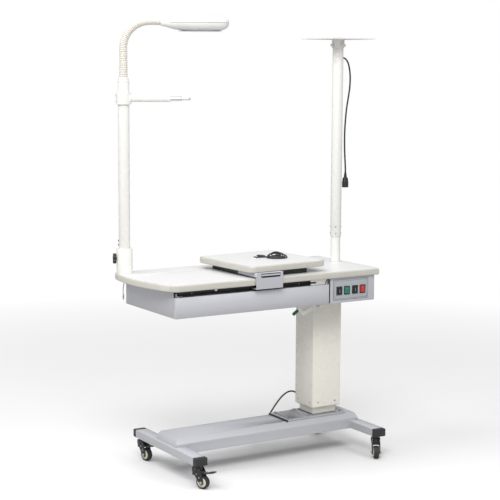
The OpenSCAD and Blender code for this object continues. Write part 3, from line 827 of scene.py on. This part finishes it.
def tyre_profile():
    """(radius, offset along the axle) round the tyre's section, with a grooved tread."""
    side = [(17.5, -9), (18.5, -10), (21.5, -10), (23.6, -9.1), (24.6, -7.4), (25, -5),
            (25, -1.2), (24.5, -0.6)]
    return side + [(r, -h) for r, h in reversed(side)]


RIM = [(17.6, 9), (17.6, 10.4), (16.6, 10.9), (11.5, 10.9), (10.8, 10.2), (10.6, 8.6),
       (8.6, 8.4), (8.4, 12.0), (5.2, 12.0)]
HUB_PIN = [(0.9, 0), (0.9, 1.2), (0.5, 1.6)]
AXLE_NUT = [(hexagon(11), 16.05), (hexagon(11.4), 17), (hexagon(11.4), 19),
            (hexagon(10.2), 20), (3.8, 20.2), (3.6, 21.4), (2.4, 21.8)]
RIVET = [(3.2, 0), (3.2, 1.0), (2.24, 1.9), (0.96, 2.2)]


def caster(key, x, y, turn):
    trail, side = headed(turn)
    hub = at(x, y, WHEEL_R) + trail * TRAIL * MM
    wheel, fork = "wheel_" + key, "caster_" + key
    lathe("tyre_" + key, hub, side, tyre_profile(), wheel, "wheel", 64,
          replaced=["wheel_" + key])
    hubs = [(hub, side, [(17.7, -9.2), (17.7, 9.2)], 48)]
    nuts, rivets = [], []
    for way in (-side, side):
        hubs.append((hub, way, RIM, 48))
        for k in range(6):
            out = trail * cos(k * HEX) + UP * sin(k * HEX)
            hubs.append((hub + (out * 9.4 + way * 8.2) * MM, way, HUB_PIN, 10))
        nuts.append((hub, way, AXLE_NUT, 36))
        rivets += [(at(x, y, z) + (trail * u + way * 14.2) * MM, way, RIVET, 28)
                   for u, z in ((5, 56), (15, 43))]
    lathes("hub_" + key, hubs, wheel, "wheel", finish="ivory_hub")
    lathes("axle_nuts_" + key, nuts, fork, "fasteners")
    lathes("rivets_" + key, rivets, fork, "fasteners")
    # Ball race dome and dust ring on top of the fork
    lathe("race_" + key, at(x, y, 79.4), UP,
          [(15.5, -14), (18.6, -13), (19.2, -9), (18.8, -4), (16.5, -1), (12, 0.1), (5.3, 0.2)],
          fork, "caster_black", 48)


def pedals():
    """Ribbed pads on the brake pedals."""
    rib = [(0.9, w) for w in (-8.6, -8.2, 8.2, 8.6)]
    for key in ("fl", "bl"):
        x, y, turn = CASTERS[key]
        trail, side = headed(turn)
        reaches = [52 + k * 4.6 for k in range(5)]
        lathes("pedal_ribs_" + key,
               [(at(x, y, 64.1 + (u - 46) * 7 / 30) + trail * u * MM, side, rib, 12)
                for u in reaches], "pedal_" + key, "pedal")


# Table -----------------------------------------

BOW_R, BOW_LEFT, BOW_Y = 630, -550, 50
TABLE_RIGHT, TABLE_HALF = 417, 209


def bow_x(y):
    return BOW_LEFT + BOW_R - sqrt(BOW_R ** 2 - (y - BOW_Y) ** 2)


def table_outline():
    bow = [(bow_x(y), y) for y in range(150, -151, -15)]
    corners = [(bow_x(-TABLE_HALF), -TABLE_HALF), (TABLE_RIGHT, -TABLE_HALF),
               (TABLE_RIGHT, TABLE_HALF), (bow_x(TABLE_HALF), TABLE_HALF)]
    return rounded_polygon(corners + bow, [36, 4, 4, 27] + [0.01] * len(bow), 9)


def platform_outline():
    half = 177.5
    c, s = cos(BOARD_TURN), sin(BOARD_TURN)
    return [(BOARD_AT[0] + x * c - y * s, BOARD_AT[1] + x * s + y * c)
            for x, y in rounded_box((-half, half), (-half, half), 22, 9)]


FRONT = Vector((0, -1, 0))


def table_looks():
    board("tabletop_board", table_outline(), (TOP_Z - TOP_THICK, TOP_Z), "table", ["tabletop"])
    board("platform_top_board", platform_outline(), (BOARD_TOP - BOARD_THICK, BOARD_TOP),
          "platform", ["platform_board"])
    # Bright screws, stop and end clip on the guide rail
    spots = ((-455, -188, 709.5), (-406, -178, 714.6), (60, -178, 714.6))
    screws("rail_screws", [(at(*spot), FRONT) for spot in spots], "table", 2.4, 1.2)
    lathe("rail_stop", at(-311, -188, 723), FRONT, [(5, -1), (5, 3), (4.4, 4), (2, 4.2)], "table",
          "nylon", 28)
    boxes("rail_clip", [((-478, -474.3), (-190, -168), (706.6, 721)),
                        ((-478, -462), (-190, -188.4), (706.6, 710.5))],
          "table", "fasteners", bevel=0.5)
    # Cream plate in front of the rail's right end, parted at its left for the bracket's hook
    depth = (-189.4, -188.3)
    boxes("end_plate", [((130, 184), depth, (706.6, 727)), ((106, 130.5), depth, (718.5, 727)),
                        ((106, 130.5), depth, (706.6, 712.5))], "table", "column_paint", bevel=0.7)
    lean = (-1.1, 0, -1.9)
    skin("end_stay", [circle_ring(at(182 + lean[0] * k, -191, 724 + lean[2] * k), lean, 1.5, 14)
                      for k in range(9)], "table", "rail")
    # Seam strip between the drawer and the control box
    boxes("seam_strip", [((186.2, 190.4), (-198.5, -197.8), (632, 727.5))], "table", "rail",
          bevel=0.2)
    # Black sheet painted as the shade in the bracket's recess, and a bright pull bar in it
    boxes("recess_painted_shade", [((-132.7, -48.3), (-215.6, -215.25), (756.3, 771.7))], "platform",
          "rail", bevel=0.1)
    boxes("recess_bar", [((-131, -50), (-217.6, -215.4), (762.8, 768.6))], "platform",
          "case_paint", bevel=0.8)


PANEL_FRONT = -199.7
ROCKER_Z = 677
# (node, x, tilt at rest in degrees, marked with arrows)
ROCKERS = [("rocker_up", 232, 0, True), ("rocker_down", 306, 0, True),
           ("rocker_power", 268, -8, False), ("rocker_lamp", 342, -8, False)]


def panel_looks():
    """Bezels, engraved outline, dark joint and screws of the switch panel."""
    front = PANEL_FRONT
    build = bmesh.new()
    for x in sorted(rocker[1] for rocker in ROCKERS):
        outer = rounded_box((x - 13.4, x + 13.4), (ROCKER_Z - 16.6, ROCKER_Z + 16.6), 1.6, 5)
        inner = rounded_box((x - 10.6, x + 10.6), (ROCKER_Z - 14, ROCKER_Z + 14), 0.8, 5)
        add_rings(build, upright_rings([(outer, front + 0.4), (outer, front - 1.4),
                                        (inset_outline(outer, 0.6), front - 2.0),
                                        (inner, front - 2.0), (inner, front + 6)]), False)
    finished("rocker_bezels", build, "table", "rocker_black")
    line = rounded_box((210, 365), (645, 715), 3, 5)
    ridge, inner = inset_outline(line, 0.35), inset_outline(line, 0.7)
    skin("panel_line", upright_rings([(line, front - 0.02), (ridge, front - 0.14),
                                      (inner, front - 0.02)]), "table", "rail", False)
    # Dark joint round the plate
    line = rounded_box((205, 370), (640, 720), 2, 5)
    inner = inset_outline(line, 1.2)
    skin("panel_gasket", upright_rings([(line, -198.1), (line, -198.7), (inner, -198.7),
                                        (inner, -198.1)]),
         "table", "rail", False, finish="gasket")
    screws("panel_screws", [(at(x, front, z), FRONT) for x in (213.5, 361.5) for z in (649, 711)],
           "table", 1.9, 0.9)


ARROWS = [[(0.4, 3.5), (3.4, 3.5), (1.9, 7.2)], [(3.4, -3.5), (0.4, -3.5), (1.9, -7.2)],
          [(1.2, 0.8), (2.6, 0.8), (2.6, 3.5), (1.2, 3.5)],
          [(1.2, -3.5), (2.6, -3.5), (2.6, -0.8), (1.2, -0.8)]]
BAR = [[(-0.5, 4.2), (0.5, 4.2), (0.5, 7.6), (-0.5, 7.6)]]


def rocker_marks():
    """Plain marks just proud of each paddle: arrows on the lift switches, bars on the rest."""
    half = 12.5
    for name, x, rest, arrows in ROCKERS:
        build = bmesh.new()
        tilt = Matrix.Rotation(radians(rest), 3, "X")
        for shape in ARROWS if arrows else BAR:
            rings = []
            for proud in (-0.2, 0.12):
                points = [tilt @ Vector((px, -3.4 - 1.6 * abs(pz) / half - proud, pz))
                          for px, pz in shape]
                rings.append([at(x + p.x, -197.5 + p.y, ROCKER_Z + p.z) for p in points])
            add_rings(build, rings)
        finished(name + "_mark", build, name, "rocker_black", finish="mark_white")


def column_looks():
    spots = []
    foot = 208
    for side in (-1, 1):
        for y in (-41, 41):
            spots.append((at(COLUMN_X + side * 66.5, y, foot), Vector((side, 0, 0))))
            spots.append((at(COLUMN_X + y, side * 62.5, foot), Vector((0, side, 0))))
    for z in (868, 895):
        for k in range(4):
            out, _ = headed(55 + 90 * k)
            spots.append((at(*MAST, z) + out * 21.2 * MM, out))
    screws("small_screws", spots, "table", 3.2, 2.2, replaced=["set_screws"])
    # Under-table head plate of the column
    boxes("column_collar", [((COLUMN_X - 70, COLUMN_X + 70), (-66, 66), (625.2, 629.4))], "table",
          "column_paint", bevel=1.2)


def lever_looks():
    pin = (165, 620)
    arc = [(pin[0] + 8.5 * cos(a), pin[1] + 8.5 * sin(a))
           for a in (radians(-50 + 14 * k) for k in range(11))]
    outline = [(162, 628), (101, 603), (79, 622), (68, 611), (99, 586)] + arc
    edge = inset_outline(outline, 0.6)
    skin("lever_plate", upright_rings([(edge, -152), (outline, -151.4), (outline, -148.6),
                                       (edge, -148)]),
         "lock_lever", "lever", replaced=["lock_lever"])
    lean = radians(34)
    ribs = [(4.5, 3), (6.2, 4)]
    for k in range(5):
        h = k * 4.4
        ribs += [(6.5, 5 + h), (6.5, 7.4 + h), (5.9, 8.0 + h), (5.9, 8.7 + h)]
    ribs += [(6.5, 26), (6.2, 28.4), (4.6, 29.6), (2, 30)]
    lathe("lever_grip", at(77.3, -150, 608.2), (-cos(lean), 0, -sin(lean)), ribs,
          "lock_lever", "lever", 32, finish="green_grip")
    lathe("lever_bolt", at(pin[0], -152, pin[1]), FRONT, [(5.6, 0), (5.6, 0.8), (3, 0.8)],
          "lock_lever", "fasteners", 32)


# Poles and lamp --------------------------------


def pole_looks():
    socket = [(30, 0), (30, 92), (29.4, 93.4), (28.2, 94), (22.2, 94), (21.5, 93.2), (21.3, 60)]
    stub = [(19, 0), (19, 151), (18, 152), (16, 152), (16, 120)]
    lathes("socket_tubes", [(at(*POLE, TOP_Z), UP, socket, 64), (at(*MAST, TOP_Z), UP, stub, 56)],
           "table", "pole_paint", replaced=["pole_sockets"])
    seals = [(at(*place, TOP_Z), UP,
              [(r + 2.2, 0), (r + 1.9, 0.6), (r + 1.0, 1.3), (r - 0.5, 1.4)], 64)
             for place, r in ((POLE, 30), (MAST, 19))]
    lathes("socket_seals", seals, "table", "pole_paint", finish="edge_band")
    pole = [(20.6, 5), (21.2, 6), (21.2, 715), (20.9, 716), (20.9, 717), (21.2, 718),
            (21.2, 723.4), (20.4, 724.6), (18.6, 725), (16.5, 725)]
    lathe("lamp_pole_tube", at(*POLE, TOP_Z), UP, pole, "lamp_pole", "pole_paint", 64,
          replaced=["lamp_pole"])
    mast = [(19.2, 102), (20.8, 102), (21.3, 102.8), (21.3, 884), (20.6, 886), (18, 887)]
    lathe("mast_tube", at(*MAST, TOP_Z), UP, mast, "table", "pole_paint", 64, replaced=["mast"])
    way = Vector((-0.866, 0.5, 0))
    screws("pole_screws", [(at(*POLE, z) + way * 21.1 * MM, way) for z in (860, 876.5)],
           "lamp_pole", 3.4, 3.0, "knob")


def arm_looks():
    centre = at(*POLE, 1411)
    collar = [(21.3, -20), (27, -22), (28, -21), (28, 21), (27, 22), (21.3, 22)]
    arm = [(12.5, 12), (12.5, 172), (12.1, 174), (11.2, 175), (9.2, 175)]
    sleeve = [(17.5, 18), (17.5, 27.4), (16.8, 28.6), (15.4, 29.4), (12.6, 31)]
    lathes("arm_tube", [(centre, UP, collar, 56), (centre, ARM_OUT, arm, 48),
                        (centre, ARM_OUT, sleeve, 48)], "refractor_arm", "pole_paint",
           replaced=["refractor_arm"])
    tip = [(8.5, 174), (8.5, 214), (8.1, 216), (7.0, 217.2), (5.6, 217.6), (5.5, 219),
           (5.5, 232), (5.0, 232.6), (5.0, 234.4), (5.5, 235), (5.5, 248), (4.8, 249.6),
           (3.6, 250)]
    lathe("arm_tip", centre, ARM_OUT, tip, "refractor_arm", "rod", 48)
    screws("arm_screws", [(centre + Vector((0, 0, z * MM)) - ARM_OUT * 27.9 * MM, -ARM_OUT)
                          for z in (-11, 11)], "refractor_arm", 3.0, 2.0)


def ribbed(first, last):
    """Rings of the flexible hose between two distances, eight to each rib."""
    rings = []
    pitch, steps = 6.6, 8
    for k in range(round(first / pitch * steps), round(last / pitch * steps) + 1):
        s = k * pitch / steps
        centre, way = neck_at(s)
        other = way.cross(ARM_SIDE)
        radius = 16.3 - 2.8 * s / NECK_END - 2.1 * abs(cos(pi * s / pitch)) ** 3
        angles = [2 * pi * n / 32 for n in range(32)]
        rings.append([centre + (ARM_SIDE * cos(a) + other * sin(a)) * radius * MM
                      for a in angles])
    return rings


def neck_looks():
    cuts = (0, 159, 235, 316)
    nodes = ("neck_root", "neck_link_1", "neck_link_2")
    for i in range(3):
        piece = skin(f"neck_hose_{i + 1}", ribbed(cuts[i], cuts[i + 1]), None, "neck",
                     replaced=[nodes[i]])
        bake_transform(piece)
    lathe("neck_ferrule", at(*POLE, POLE_TOP), UP,
          [(17.2, -2), (19.4, -0.5), (19.6, 1), (19.6, 9), (18.8, 10.6), (17.0, 11)], "lamp_pole",
          "pole_paint", 56)


# (distance along the arm, half width, height above the middle, depth below it)
HEAD_STATIONS = [(140, 14.0, 14.0, 14.0), (147, 14.6, 14.6, 14.4), (160, 17.5, 17.6, 17.0),
                 (176, 26, 21.5, 22.0), (195, 37, 24.5, 26.5), (218, 46.5, 26.6, 30.5),
                 (245, 51.8, 28.0, 33.0), (275, 54, 28.6, 34.0), (305, 54, 28.8, 34.0),
                 (332, 52, 28.2, 33.2), (355, 46.5, 26.0, 31.0), (373, 37, 21.6, 26.5),
                 (385, 25, 15.6, 20.0), (391, 13, 9.0, 12.0), (393, 4, 3.0, 4.0)]
RIM_STATIONS = [(205, 14), (222, 34), (250, 42), (290, 44.5), (325, 42), (350, 34), (366, 16)]
HEAD_Z = POLE_TOP + NECK_RISE + NECK_BEND
HEAD_MID = HEAD_Z - 3
HEAD_FOOT = HEAD_Z - 34


def head_point(u, w, z):
    return at(*POLE, z) + (ARM_OUT * u + ARM_SIDE * w) * MM


def smooth_stations(stations):
    return [tuple(v) for v in catmull([Vector(s) for s in stations], 3)]


def squared(value):
    """A cosine or sine pushed outwards, so that a ring is a little squarer than an ellipse."""
    return copysign(abs(value) ** 0.9, value)


def head_ring(u, half, above, below):
    ring = []
    count = 56
    for k in range(count):
        a = 2 * pi * k / count
        tall = above if sin(a) > 0 else below
        z = HEAD_MID + tall * squared(sin(a))
        ring.append(head_point(u, half * squared(cos(a)), max(z, HEAD_FOOT)))
    return ring


def lamp_looks():
    skin("lamp_shell", [head_ring(*s) for s in smooth_stations(HEAD_STATIONS)], "lamp_head",
         "lamp_shell", replaced=["lamp_head"])
    # Parting line between the shell's halves
    edge = [(u, w * 1.004 + 0.05) for u, w, *_ in smooth_stations(HEAD_STATIONS[3:-1])]
    build = bmesh.new()
    rows = [[build.verts.new(head_point(u, w, HEAD_MID - 1) + UP * dz * MM) for dz in (-0.5, 0.5)]
            for u, w in edge + [(u, -w) for u, w in reversed(edge)]]
    for a, b in zip(rows, rows[1:]):
        build.faces.new((a[0], b[0], b[1], a[1]))
    seam = finished("lamp_seam", build, "lamp_head", "lamp_shell", finish="gasket")
    seam.modifiers.new("thickness", "SOLIDIFY").thickness = 0.0004
    # Rim and opal plate under the head: (inset, height) of each one's rings
    rim = smooth_stations(RIM_STATIONS)
    outline = [(u, -w) for u, w in rim] + rim[::-1]
    parts = (((0.0, -0.9), (0.5, -2.0), (1.6, -2.2), (3.0, -1.2)), ((3.0, -1.0), (6.0, -1.7)))
    build = bmesh.new()
    for material, levels in enumerate(parts):
        rings = [[head_point(u, w, HEAD_FOOT + h) for u, w in inset_outline(outline, inset)]
                 for inset, h in levels]
        rows = add_rings(build, rings, False, material)
    build.faces.new(rows[-1]).material_index = 1
    finished("lamp_diffuser_plate", build, "lamp_head", "diffuser",
             materials=[MATERIALS["lamp_shell"], MATERIALS["diffuser"]], replaced=["lamp_diffuser"])


def tray_looks():
    def grip(angle):
        return 4.5 + 0.25 * cos(angle * 18)

    thumbscrew = [(2.0, 24), (2.0, 27), (grip, 27.4), (grip, 33.4), (3.6, 34.2)]
    lathes("tray_thumbscrews",
           [(at(*MAST, MAST_TOP - 23), headed(90 * k)[0], thumbscrew, 72) for k in range(4)],
           "tray", "pole_paint")
    # Anti-slip mat on the tray
    outline = rounded_box((MAST[0] - 98, MAST[0] + 98), (MAST[1] - 98, MAST[1] + 98), 10)
    levels = [(inset, MAST_TOP + z) for inset, z in ((0, 3.9), (0, 4.5), (0.5, 4.8))]
    skin("tray_mat", level_rings(outline, levels), "tray", "pole_paint",
         finish="gasket")


# Surroundings ----------------------------------


# Name, place, target, size in metres and power in watts
LIGHTS = [("key", (-2.0, -2.7, 3.9), (0, 0, 0.5), (2.2, 2.0), 125),
          ("front", (1.2, -3.4, 3.2), (0, 0, 0.6), (2.2, 2.0), 30),
          ("left", (-3.0, 0.6, 4.0), (0, 0, 0.5), (2.2, 2.2), 70),
          ("top", (0.2, 0.0, 4.6), (0, 0, 0.6), (3.2, 3.2), 50)]
# Half of the floor's width, in metres, and the distances between which it fades into white
FLOOR_REACH = 14
FADE_START, FADE_END = 1.0, 4.0
# Strength of the white surroundings, as light and as the camera sees them
WORLD_LIGHT, WORLD_SEEN = 0.42, 1.0


def area_light(name, place, target, size, power):
    data = bpy.data.lights.new(name, "AREA")
    data.shape = "RECTANGLE"
    data.size, data.size_y = size
    data.energy = power
    lamp = placed(name, data)
    lamp.location = place
    lamp.rotation_mode = "QUATERNION"
    lamp.rotation_quaternion = (Vector(target) - Vector(place)).to_track_quat("-Z", "Y")


def studio():
    build = bmesh.new()
    for x, y in ((-1, -1), (1, -1), (1, 1), (-1, 1)):
        build.verts.new((x * FLOOR_REACH, y * FLOOR_REACH, 0))
    build.faces.new(build.verts[:])
    mesh = to_mesh("floor", build)
    floor = placed("floor", mesh)
    paint = Surface("floor_paint", (0.92, 0.92, 0.92), 0.6)
    paint.tint(paint.noise(2, 3), (0.9, 0.9, 0.9), 0.5)
    # Far from the object the floor fades into the white surroundings
    far = paint.node("ShaderNodeVectorMath", operation="LENGTH")
    paint.link(paint.place, far.inputs[0])
    glow = paint.node("ShaderNodeEmission")
    fill(glow, {"Strength": WORLD_SEEN})
    fade = paint.node("ShaderNodeMixShader")
    paint.link(paint.ranged(far.outputs["Value"], 0.0, 1.0, FADE_START, FADE_END),
               fade.inputs["Fac"])
    paint.link(paint.shader.outputs["BSDF"], fade.inputs[1])
    paint.link(glow.outputs["Emission"], fade.inputs[2])
    # It looks white, and lights the underside of things less than it looks
    dim = paint.node("ShaderNodeBsdfDiffuse")
    fill(dim, {"Color": (0.6, 0.6, 0.6, 1)})
    choice = paint.node("ShaderNodeMixShader")
    paint.link(paint.node("ShaderNodeLightPath").outputs["Is Camera Ray"], choice.inputs["Fac"])
    paint.link(dim.outputs["BSDF"], choice.inputs[1])
    paint.link(fade.outputs["Shader"], choice.inputs[2])
    paint.link(choice.outputs["Shader"], paint.tree.nodes["Material Output"].inputs["Surface"])
    mesh.materials.append(paint.material)
    world = bpy.data.worlds.new("studio")
    bpy.context.scene.world = world
    world.use_nodes = True
    back = world.node_tree.nodes["Background"]
    fill(back, {"Color": (1, 1, 1, 1)})
    seen = world.node_tree.nodes.new("ShaderNodeLightPath").outputs["Is Camera Ray"]
    level = world.node_tree.nodes.new("ShaderNodeMapRange")
    fill(level, {"To Min": WORLD_LIGHT, "To Max": WORLD_SEEN})
    world.node_tree.links.new(seen, level.inputs["Value"])
    world.node_tree.links.new(level.outputs["Result"], back.inputs["Strength"])
    for light in LIGHTS:
        area_light(*light)
    bpy.context.scene.view_settings.view_transform = "Standard"


# Assembly --------------------------------------


def paint_nodes():
    for entry in frame["record"]["subparts"]:
        piece = NODES[entry["node"]]
        piece.data.materials.clear()
        piece.data.materials.append(MATERIALS[entry["material_slot"]])


make_camera()
paint_nodes()
soften_edges()
mains_lead()
projector_lead()
lamp_lead()
platform_cord()
base_looks()
for key, (x, y, turn) in CASTERS.items():
    caster(key, x, y, turn)
pedals()
table_looks()
panel_looks()
rocker_marks()
column_looks()
lever_looks()
pole_looks()
arm_looks()
neck_looks()
lamp_looks()
tray_looks()
studio()
